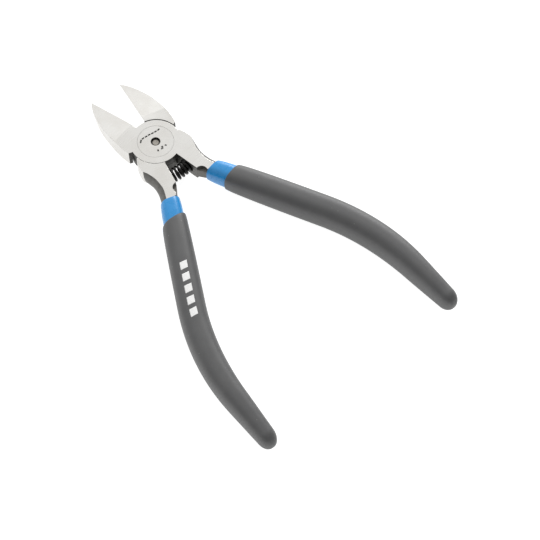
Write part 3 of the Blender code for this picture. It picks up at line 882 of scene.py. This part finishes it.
def return_spring(look):
    """A round-wire coil whose axis follows the gap between the handles and into both pockets."""
    mouth = Matrix.Rotation(HALF_OPENING, 2) @ Vector((INNER_FACE_X, SPRING_Y))
    bend_r = mouth.x / math.sin(HALF_OPENING)
    half_length = bend_r * HALF_OPENING + SPRING_HALF_SEAT
    per_turn, sides = 36, 14
    count = round(SPRING_TURNS * per_turn)
    line = []
    for index in range(count + 1):
        share = index / count
        travel = half_length * (2 * share - 1)
        centre, heading = spring_axis(travel, mouth, bend_r)
        angle = 2 * math.pi * SPRING_TURNS * share
        outward = Vector((-math.sin(heading), math.cos(heading), 0)) * math.cos(angle)
        outward += Vector((0, 0, math.sin(angle)))
        line.append(centre.to_3d() + SPRING_COIL_R * outward)
    rings = []
    for index, point in enumerate(line):
        along = (line[min(index + 1, count)] - line[max(index - 1, 0)]).normalized()
        centre, heading = spring_axis(half_length * (2 * index / count - 1), mouth, bend_r)
        side = (point - centre.to_3d()).normalized()
        side = (side - side.dot(along) * along).normalized()
        other = along.cross(side)
        rings.append([point + SPRING_WIRE_R * (math.cos(a) * side + math.sin(a) * other)
                      for a in (2 * math.pi * k / sides for k in range(sides))])
    spring = stacked("coil_spring", rings)
    spring.data.materials.append(look)
    for polygon in spring.data.polygons:
        polygon.use_smooth = len(polygon.vertices) == 4
    spring.location.z = HEAD_HALF_T
    return spring


# --- Grips -------------------------------------------------------------------------------------------------

def printed_bars(look):
    """Plain slanted bars printed on the left grip's front."""
    work = bmesh.new()
    along_steps, across_steps = 16, 10
    for bar in range(PRINT_BARS):
        rows = []
        for i in range(along_steps + 1):
            row = []
            for j in range(across_steps + 1):
                across = PRINT_HALF_WIDTH * (2 * j / across_steps - 1)
                distance = (PRINT_START + bar * PRINT_PITCH + PRINT_LENGTH * i / along_steps
                            + PRINT_SLANT * across)
                row.append(work.verts.new(grip_top(distance, across, INK_LIFT)))
            rows.append(row)
        for row, following in zip(rows, rows[1:]):
            for j in range(across_steps):
                work.faces.new((row[j], row[j + 1], following[j + 1], following[j]))
    item = object_from("printed_bars", work)
    item.data.transform(Matrix.Scale(-1, 4, (1, 0, 0)))
    item.data.flip_normals()
    item.data.materials.append(look)
    for polygon in item.data.polygons:
        polygon.use_smooth = True
    thick = item.modifiers.new("Ink", "SOLIDIFY")
    thick.thickness = INK_THICKNESS
    thick.offset = -1
    return item


def grip_top(distance, across, lift):
    """A point on the grip's front, a little way off its skin."""
    width, height = section_at(GRIP_SECTIONS, distance)
    centre, along = handle_frame(distance)
    side = Vector((-along.y, along.x))
    up = (height + lift) * (1 - abs(across / (width + lift)) ** SECTION_POWER) ** (1 / SECTION_POWER)
    plan = centre + side * across
    return Vector((plan.x, plan.y, up))


# --- Build -------------------------------------------------------------------------------------------------

def main():
    steel, oxide, bore = ground_steel(), forged_oxide_and_shade(), bore_shadow_steel()
    blue, grey = blue_vinyl(), grey_vinyl()
    lift = Matrix.Translation((0, 0, HEAD_HALF_T))
    front_half = lift @ Matrix.Rotation(HALF_OPENING, 4, "Z")
    rear_half = lift @ Matrix.Rotation(-HALF_OPENING, 4, "Z")

    front_lever, rear_lever = make_levers((steel, oxide, bore))
    pieces = [(front_lever, front_half, "front_half", "front_lever", "forged_steel"),
              (rear_lever, rear_half, "rear_half", "rear_lever", "forged_steel"),
              (joint_disc(steel, oxide), rear_half, "rear_half", "joint_disc", "forged_steel"),
              (centre_rivet(pin_steel()), rear_half, "rear_half", "centre_rivet", "forged_steel")]
    for prefix, side, dips, half in (("front", 1, FRONT_DIPS, front_half),
                                     ("rear", -1, REAR_DIPS, rear_half)):
        body = prefix + "_half"
        start, slant = dips["sleeve"]
        sleeve = cup(prefix + "_blue_sleeve", SLEEVE_SECTIONS, start, SLEEVE_END, slant, SLEEVE_LIP,
                     TANG_SECTIONS, TANG_END, LAYER_GAP, side)
        sleeve.data.materials.append(blue)
        pieces.append((sleeve, half, body, prefix + "_inner_sleeve", "blue_vinyl"))
        start, slant = dips["grip"]
        grip = cup(prefix + "_grey_grip", GRIP_SECTIONS, start, GRIP_END, slant, GRIP_LIP,
                   SLEEVE_SECTIONS, SLEEVE_END, LAYER_GAP, side)
        grip.data.materials.append(grey)
        pieces.append((grip, half, body, prefix + "_outer_grip", "grey_vinyl"))
    for item, half, body, node, slot in pieces:
        item.matrix_world = half
        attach(item, body)
        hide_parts(node)

    bars = printed_bars(white_print())
    bars.matrix_world = rear_half
    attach(bars, "rear_half")

    spring = return_spring(black_spring())
    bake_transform(spring)
    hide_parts("return_spring")


def aimed(name, data, place):
    """A light or camera that looks at the middle of the tool."""
    holder = bpy.data.objects.new(name, data)
    holder.location = place
    holder.rotation_euler = (VIEW_TARGET - Vector(place)).to_track_quat("-Z", "Y").to_euler()
    bpy.context.scene.collection.objects.link(holder)
    return holder


def floor():
    """A plain floor just under the tool."""
    work = bmesh.new()
    bmesh.ops.create_grid(work, x_segments=1, y_segments=1, size=FLOOR_HALF_SIZE)
    item = object_from("floor", work)
    item.location.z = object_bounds()[0].z - FLOOR_GAP
    item.data.materials.append(pale_floor())
    item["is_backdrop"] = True


def studio():
    """A white surround, brighter on one side, and two soft panels."""
    world = bpy.data.worlds.new("studio")
    bpy.context.scene.world = world
    world.use_nodes = True
    tree = world.node_tree
    background = tree.nodes["Background"]
    direction = tree.nodes.new("ShaderNodeTexCoord")
    facing = tree.nodes.new("ShaderNodeVectorMath")
    facing.operation = "DOT_PRODUCT"
    facing.inputs[1].default_value = BRIGHT_SIDE
    ramp = tree.nodes.new("ShaderNodeMapRange")
    ramp.inputs["From Min"].default_value, ramp.inputs["From Max"].default_value = BRIGHT_FROM
    ramp.inputs["To Min"].default_value, ramp.inputs["To Max"].default_value = BRIGHT_TO
    tree.links.new(direction.outputs["Generated"], facing.inputs[0])
    tree.links.new(facing.outputs["Value"], ramp.inputs["Value"])
    tree.links.new(ramp.outputs["Result"], background.inputs["Strength"])
    background.inputs["Color"].default_value = (1.0, 1.0, 1.0, 1.0)
    for name, place, size, power in LIGHTS:
        light = bpy.data.lights.new(name, "AREA")
        light.shape = "SQUARE"
        light.size = size
        light.energy = power
        aimed(name, light, place)


def view():
    """The camera, from in front and from the lower left."""
    camera = bpy.data.cameras.new("camera")
    camera.lens = VIEW_LENS
    camera.sensor_width = 36
    camera.clip_start, camera.clip_end = 0.01, 10
    toward = Vector((-math.sin(VIEW_AZIMUTH) * math.cos(VIEW_ELEVATION),
                     -math.cos(VIEW_AZIMUTH) * math.cos(VIEW_ELEVATION), math.sin(VIEW_ELEVATION)))
    bpy.context.scene.camera = aimed("camera", camera, VIEW_TARGET + toward * VIEW_DISTANCE)
    bpy.context.scene.view_settings.view_transform = "Standard"


main()
floor()
studio()
view()
